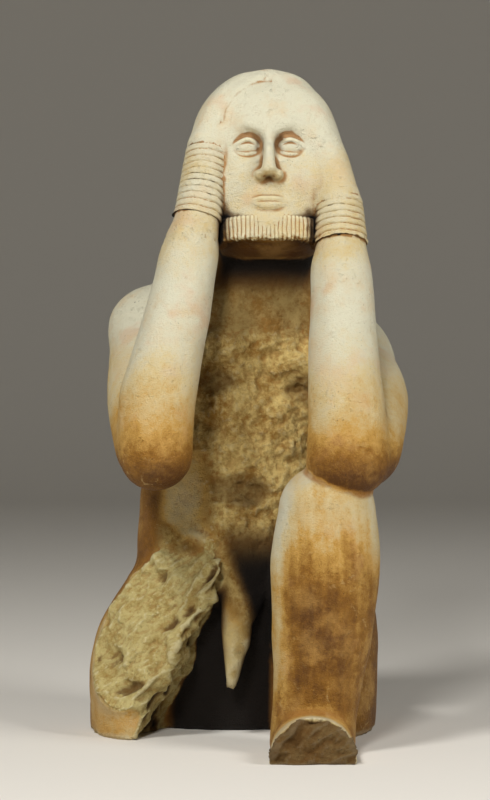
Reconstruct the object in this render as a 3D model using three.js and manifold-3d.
// A terracotta figure of a bearded man who squats with one knee up and holds his head, which is thrown back.
// He was modelled by hand in one piece and fired, so he is one solid. His right leg and the front of his left
// foot are broken away, and he stands on his seat and on the heel that is left.
// Millimetres, +Z up. He faces -Y, so his own left side is +X. The origin is under the middle of his box.
import * as THREE from "three";
import { mergeVertices } from "three/addons/utils/BufferGeometryUtils.js";
import Module from "manifold-3d";

// ---- Driving dimensions -------------------------------------------------------------------------------
const HEIGHT = 400; // floor to crown
const HEAD_TILT = THREE.MathUtils.degToRad(14); // how far the head is thrown back
const HEAD = [12, 14, 348]; // middle of the head
const COIL_PITCH = 4.1; // one bracelet coil to the next, along the forearm
const COIL_RISE = 1.3; // how far a coil stands out of the wrist
const COIL_ROOT = 0.2; // share of that rise left at the foot of the grooves
const BEARD = { width: 58, height: 15, ribs: 21, groove: 1.3, top: -46 };

// ---- Solids from three.js geometry --------------------------------------------------------------------
const wasm = await Module();
wasm.setup();

// A closed geometry as a solid that can be joined and cut.
function solid(geometry) {
  geometry.deleteAttribute("normal");
  geometry.deleteAttribute("uv");
  const merged = mergeVertices(geometry, 1e-3);
  const corners = merged.index.array;
  const triVerts = [];
  for (let i = 0; i < corners.length; i += 3) {
    const [a, b, c] = corners.slice(i, i + 3);
    if (a !== b && b !== c && c !== a) triVerts.push(a, b, c);
  }
  return new wasm.Manifold(
    new wasm.Mesh({
      numProp: 3,
      vertProperties: merged.attributes.position.array,
      triVerts: new Uint32Array(triVerts),
    }),
  );
}

// The outline of a limb of unit radius, from its first end to its last: a round cap, the length, a round cap.
function limbProfile(rows, capRows) {
  const points = [];
  for (let k = 0; k < capRows; k++) {
    const a = (Math.PI / 2) * (k / capRows);
    points.push(new THREE.Vector2(Math.sin(a), -Math.cos(a)));
  }
  for (let k = 0; k <= rows; k++) points.push(new THREE.Vector2(1, k / rows));
  for (let k = 1; k <= capRows; k++) {
    const a = (Math.PI / 2) * (k / capRows);
    points.push(new THREE.Vector2(Math.cos(a), 1 + Math.sin(a)));
  }
  points[0].x = 0;
  points.at(-1).x = 0;
  return points;
}

// A limb: a lathe of unit radius, bent along its stations. A station is [x, y, z, half width, half depth],
// and the half width is measured along `across`. `swell` adds to the radius at a share of the length.
function limb(stations, options = {}) {
  const { sides = 16, steps = 2, cap = 1, capRows = 3, across = [1, 0, 0] } = options;
  const swell = options.swell ?? (() => 0);
  const curve = (pick) =>
    new THREE.CatmullRomCurve3(stations.map(pick), false, "catmullrom", 0.5);
  const centre = curve(([x, y, z]) => new THREE.Vector3(x, y, z));
  const radius = curve(([, , , wide, deep]) => new THREE.Vector3(wide, deep, 0));
  const rows = steps * (stations.length - 1);
  const geometry = new THREE.LatheGeometry(limbProfile(rows, capRows), sides);
  const place = geometry.attributes.position;
  const v = new THREE.Vector3();
  for (let i = 0; i < place.count; i++) {
    v.fromBufferAttribute(place, i);
    const t = THREE.MathUtils.clamp(v.y, 0, 1);
    const axis = centre.getTangent(t);
    const side = new THREE.Vector3(...across);
    side.addScaledVector(axis, -side.dot(axis)).normalize();
    const front = side.clone().cross(axis);
    const { x: wide, y: deep } = radius.getPoint(t);
    const past = (v.y - t) * cap * Math.min(wide, deep);
    const point = centre
      .getPoint(t)
      .addScaledVector(side, v.x * (wide + swell(t)))
      .addScaledVector(front, v.z * (deep + swell(t)))
      .addScaledVector(axis, past);
    place.setXYZ(i, point.x, point.y, point.z);
  }
  return solid(geometry);
}

// A ball pulled to three half sizes.
function ball([x, y, z], [a, b, c], sides = 14) {
  const geometry = new THREE.SphereGeometry(1, sides, Math.round(sides * 0.7));
  geometry.rotateX(Math.PI / 2);
  geometry.scale(a, b, c);
  geometry.translate(x, y, z);
  return solid(geometry);
}

// A block with one rough face, for a break. The face passes through `at` and looks along `out`, and the
// block lies in front of it, so that cutting it away leaves the rough face.
function breakBlock(at, out, size, rough) {
  const cells = 9;
  const geometry = new THREE.BoxGeometry(size, size, size, cells, cells, 1);
  const place = geometry.attributes.position;
  for (let i = 0; i < place.count; i++) {
    const [x, y, z] = [place.getX(i), place.getY(i), place.getZ(i)];
    if (z > 0) continue;
    const wave = Math.sin(x * 0.31 + 1.1) * Math.cos(y * 0.27 - 0.4) + Math.sin(x * 0.13 - y * 0.19);
    place.setZ(i, z + rough * wave);
  }
  geometry.translate(0, 0, size / 2);
  const turn = new THREE.Quaternion().setFromUnitVectors(
    new THREE.Vector3(0, 0, 1),
    new THREE.Vector3(...out).normalize(),
  );
  geometry.applyQuaternion(turn);
  geometry.translate(...at);
  return solid(geometry);
}

const joined = (solids) => solids.reduce((whole, piece) => whole.add(piece));
const mirrored = (x) => [x, -x];

// ---- Trunk --------------------------------------------------------------------------------------------
// It leans a little to his left as it rises, and its foot is set back between the hips.
function trunk() {
  const spine = [
    [-9, 48, -12, 60, 34],
    [-9, 46, 26, 58, 36],
    [-9, 42, 62, 57, 40],
    [-8, 40, 92, 61, 42],
    [-6, 38, 120, 62, 42],
    [-3, 37, 152, 62, 41],
    [0, 37, 185, 63, 41],
    [3, 37, 216, 65, 41],
    [5, 36, 238, 60, 38],
  ];
  const shoulders = [
    [-58, 36, 243, 27, 26],
    [-28, 36, 250, 31, 29],
    [5, 36, 252, 33, 30],
    [34, 36, 245, 31, 29],
    [60, 36, 226, 28, 28],
  ];
  const neck = [
    [5, 34, 248, 38, 28],
    [9, 27, 270, 34, 24],
    [12, 19, 292, 31, 23],
    [12, 15, 314, 28, 25],
  ];
  return joined([
    limb(spine, { sides: 24, steps: 1, cap: 0.3 }),
    limb(shoulders, { steps: 1, across: [0, 1, 0] }),
    limb(neck, { sides: 18, steps: 1, cap: 0.5 }),
    ball([-22, 5, 226], [20, 9, 15], 10), // right breast
    ball([29, 5, 224], [20, 9, 15], 10), // left breast
    ball([-1, 1, 126], [10, 6, 12], 8), // navel
  ]);
}

// ---- Hips and legs ------------------------------------------------------------------------------------
const THIGH_BREAK = { at: [-52, -15, 66], out: [-0.44, -0.8, 0.42] };
const INNER_BREAK = { at: [-62, -5, 5], out: [0.82, -0.37, -0.43] };
const FOOT_BREAK = { at: [36, -104, 12], out: [0.03, -1, 0.12] };

function rightHip() {
  const buttock = [
    [-69, 28, -12, 27, 52],
    [-67, 29, 22, 30, 51],
    [-59, 30, 55, 31, 48],
    [-50, 32, 82, 26, 42],
  ];
  const thighStub = [
    [-58, 26, 60, 29, 55],
    [-54, -12, 68, 27, 57],
    [-51, -48, 76, 26, 54],
  ];
  return limb(buttock, { steps: 1, cap: 0.5 })
    .add(limb(thighStub, { across: [0.854, 0, -0.52], steps: 1, cap: 0.5 }))
    .subtract(breakBlock(THIGH_BREAK.at, THIGH_BREAK.out, 130, 1.6))
    .subtract(breakBlock(INNER_BREAK.at, INNER_BREAK.out, 130, 1.6));
}

function leftLeg() {
  const buttock = [
    [46, 28, -12, 30, 50],
    [47, 29, 22, 32, 50],
    [47, 30, 55, 31.5, 47],
    [42, 32, 82, 30, 42],
  ];
  const thigh = [
    [42, 30, 60, 34, 36],
    [44, -10, 92, 31, 33],
    [45, -50, 122, 29, 31],
  ];
  const shin = [
    [45, -58, 138, 28, 27],
    [44.5, -61, 112, 31.5, 28],
    [43, -62, 80, 29.5, 26],
    [41, -62, 52, 27, 24],
    [38.5, -62, 26, 24.5, 22],
    [37, -64, 6, 24.5, 24],
  ];
  const instep = [
    [37, -74, 8, 23, 17],
    [36, -100, 0, 24.5, 26],
    [36, -124, -4, 25, 22],
  ];
  return joined([
    limb(buttock, { steps: 1, cap: 0.5 }),
    limb(thigh),
    limb(shin, { sides: 18 }),
    limb(instep, { steps: 1, cap: 0.4 }),
  ]).subtract(breakBlock(FOOT_BREAK.at, FOOT_BREAK.out, 70, 0.9));
}

// The worn form that hangs between the thighs and ends in a point.
function pendant() {
  return limb(
    [
      [-6, 2, 104, 17, 12],
      [-7, -5, 84, 11, 10],
      [-8.6, -8, 67, 8.7, 8],
      [-10.7, -9, 52, 7.4, 7],
      [-12, -9, 41, 5, 5],
      [-13, -8, 29, 1.8, 1.8],
    ],
    { sides: 10 },
  );
}

// ---- Arms and hands -----------------------------------------------------------------------------------
// The elbows are in front, the left one on the knee. The forearms rise and lean back to the head, and each
// hand lies flat along the side of the head up to the crown.
const RIGHT_FOREARM = [
  [-54, -58, 171.5, 21.5, 21.5],
  [-52.5, -52, 202, 22, 21.5],
  [-46.5, -43, 231, 20.5, 20.5],
  [-40, -35, 260, 18.5, 18.5],
  [-34.5, -27, 290, 17, 17],
  [-30.7, -22, 308, 14.5, 15],
  [-27, -14, 329, 13.4, 14],
  [-24.4, -5.5, 350, 12.4, 13.5],
];
const LEFT_FOREARM = [
  [57, -66, 169, 24, 22],
  [56, -58, 202, 22, 21.5],
  [55, -48, 231, 20, 20.5],
  [54.5, -38.5, 260, 18.7, 19],
  [54.2, -31.5, 279, 17.6, 17.6],
  [54.4, -26, 293, 15.5, 16],
  [53.4, -16.5, 319, 13.2, 14.2],
];

const RIGHT_UPPER_ARM = [
  [-58, 36, 243, 26, 26],
  [-59.5, -4, 208, 25, 25],
  [-55.5, -46, 175, 22.5, 23],
];
const LEFT_UPPER_ARM = [
  [60, 36, 222, 28, 28],
  [67, -4, 200, 28.5, 28],
  [63, -46, 175, 26, 25],
];

// Bracelets of many coils, pressed on round the last stations of a forearm, from `first` upwards.
function bracelets(forearm, first) {
  const stations = forearm.slice(first);
  const ends = [stations[0], stations.at(-1)].map((s) => new THREE.Vector3(...s));
  const coils = Math.round(ends[0].distanceTo(ends[1]) / COIL_PITCH);
  const ripple = (t) => COIL_RISE * (COIL_ROOT + Math.abs(Math.sin(Math.PI * coils * t)));
  const steps = Math.ceil((2 * coils) / (stations.length - 1));
  return limb(stations, { sides: 16, steps, cap: 0.3, capRows: 2, swell: ripple });
}

function rightHand() {
  return limb(
    [
      [-24.5, -4, 352, 14, 12],
      [-21.5, 8, 368, 18, 10],
      [-15, 18, 381, 19, 9],
      [-4, 25, 389, 18, 8],
      [8, 28, 392, 14, 7],
    ],
    { across: [0, 1, 0], steps: 1, cap: 0.6 },
  );
}

function leftHand() {
  return limb(
    [
      [53.2, -16, 318, 14.5, 13],
      [50.5, -7, 336, 16.5, 12],
      [46, 1, 352, 18, 11],
      [41, 9, 366, 19, 10],
      [34.5, 18, 379, 19, 9],
      [26, 24, 387, 18, 8],
      [16, 28, 391, 14, 7],
    ],
    { across: [0, 1, 0], steps: 1, cap: 0.6 },
  );
}

function arms() {
  return joined([
    limb(RIGHT_FOREARM, { steps: 1 }),
    limb(LEFT_FOREARM, { steps: 1 }),
    limb(RIGHT_UPPER_ARM),
    limb(LEFT_UPPER_ARM),
    bracelets(RIGHT_FOREARM, 5),
    bracelets(LEFT_FOREARM, 5),
    rightHand(),
    leftHand(),
  ]);
}

// ---- Head ---------------------------------------------------------------------------------------------
// Built upright about its own middle: x across, y backwards, z up. placeHead() then throws it back.
const FACE_FRONT = -31; // the cheeks
const EYE_LINE = -4;
const NOSE_BASE = -27;
const MOUTH = -37;
const EYE_APART = 12.5; // middle of the face to middle of an eye

function placeHead(piece) {
  return piece.rotate([-THREE.MathUtils.radToDeg(HEAD_TILT), 0, 0]).translate(HEAD);
}

function skull() {
  return limb(
    [
      [0, 4, -50, 25, 31],
      [0, 2, -36, 28, 33],
      [0, 2, -14, 31, 34],
      [0, 2, 8, 33, 34],
      [0, 3, 28, 32, 31],
      [0, 4, 41, 25, 24],
    ],
    { sides: 20, steps: 1, cap: 0.5 },
  );
}

function face() {
  const carved = skull();
  const sockets = mirrored(EYE_APART).map((x) => ball([x, FACE_FRONT - 2, EYE_LINE], [10.5, 7, 6.5], 10));
  const eyes = mirrored(EYE_APART).map((x) => ball([x, FACE_FRONT + 3, EYE_LINE], [8.5, 6, 4], 8));
  const brows = mirrored(1).map((side) =>
    limb(
      [
        [side * 2, FACE_FRONT - 2, EYE_LINE + 9, 2.5, 2.5],
        [side * 13, FACE_FRONT - 1, EYE_LINE + 12, 2.5, 2.5],
        [side * 23, FACE_FRONT + 7, EYE_LINE + 7, 2, 2],
      ],
      { across: [0, 1, 0], sides: 6, capRows: 1 },
    ),
  );
  const nose = limb(
    [
      [0, FACE_FRONT + 1, EYE_LINE + 9, 3, 3.5],
      [0, FACE_FRONT - 2, EYE_LINE - 4, 3.8, 5],
      [0, FACE_FRONT - 4, NOSE_BASE + 6, 7.5, 7],
      [0, FACE_FRONT - 3, NOSE_BASE + 2, 8.5, 6],
    ],
    { sides: 10, steps: 1, capRows: 2, cap: 0.4 },
  );
  const lip = (z, half, thick) =>
    limb(
      [
        [-half, FACE_FRONT + 3, z, thick * 0.6, thick * 0.5],
        [-half / 2, FACE_FRONT - 1, z, thick, thick],
        [0, FACE_FRONT - 2, z, thick * 1.1, thick],
        [half / 2, FACE_FRONT - 1, z, thick, thick],
        [half, FACE_FRONT + 3, z, thick * 0.6, thick * 0.5],
      ],
      { across: [0, 1, 0], sides: 6, steps: 1, capRows: 1 },
    );
  return joined([
    sockets.reduce((left, socket) => left.subtract(socket), carved),
    ...eyes,
    ...brows,
    nose,
    lip(MOUTH + 2.4, 12, 2.4),
    lip(MOUTH - 2.6, 11, 2.8),
  ]);
}

// A band round the jaw, combed into upright ribs.
function beard() {
  const { width, height, ribs, groove, top } = BEARD;
  const outline = new THREE.Shape();
  const front = (x) => FACE_FRONT - 5 + 13 * (x / (width / 2)) ** 2;
  outline.moveTo(-width / 2, 4);
  for (let k = 0; k <= 2 * ribs; k++) {
    const x = -width / 2 + (width * k) / (2 * ribs);
    outline.lineTo(x, front(x) + (k % 2 ? 0 : groove));
  }
  outline.lineTo(width / 2, 4);
  const geometry = new THREE.ExtrudeGeometry(outline, { depth: height, bevelEnabled: false });
  geometry.translate(0, 0, top - height);
  return solid(geometry);
}

// ---- The whole figure ---------------------------------------------------------------------------------
function figure() {
  const whole = joined([
    trunk(),
    rightHip(),
    leftLeg(),
    pendant(),
    arms(),
    placeHead(face()),
    placeHead(beard()),
  ]);
  const floor = solid(new THREE.BoxGeometry(400, 400, 100).translate(0, 0, -50));
  return whole.subtract(floor);
}

const modelled = figure();
const tall = modelled.boundingBox().max[2];
const { vertProperties, triVerts } = modelled.scale(HEIGHT / tall).getMesh();
const geometry = new THREE.BufferGeometry();
geometry.setAttribute("position", new THREE.BufferAttribute(vertProperties, 3));
geometry.setIndex(new THREE.BufferAttribute(triVerts, 1));
geometry.computeBoundingBox();
const box = geometry.boundingBox;
const middle = box.getCenter(new THREE.Vector3());
geometry.translate(-middle.x, -middle.y, -box.min.z);
geometry.computeVertexNormals();

const mesh = new THREE.Mesh(
  geometry,
  new THREE.MeshStandardMaterial({ color: 0xc79a63, roughness: 0.8, metalness: 0 }),
);
mesh.name = "figure";

const group = new THREE.Group();
group.add(mesh);
export default group;
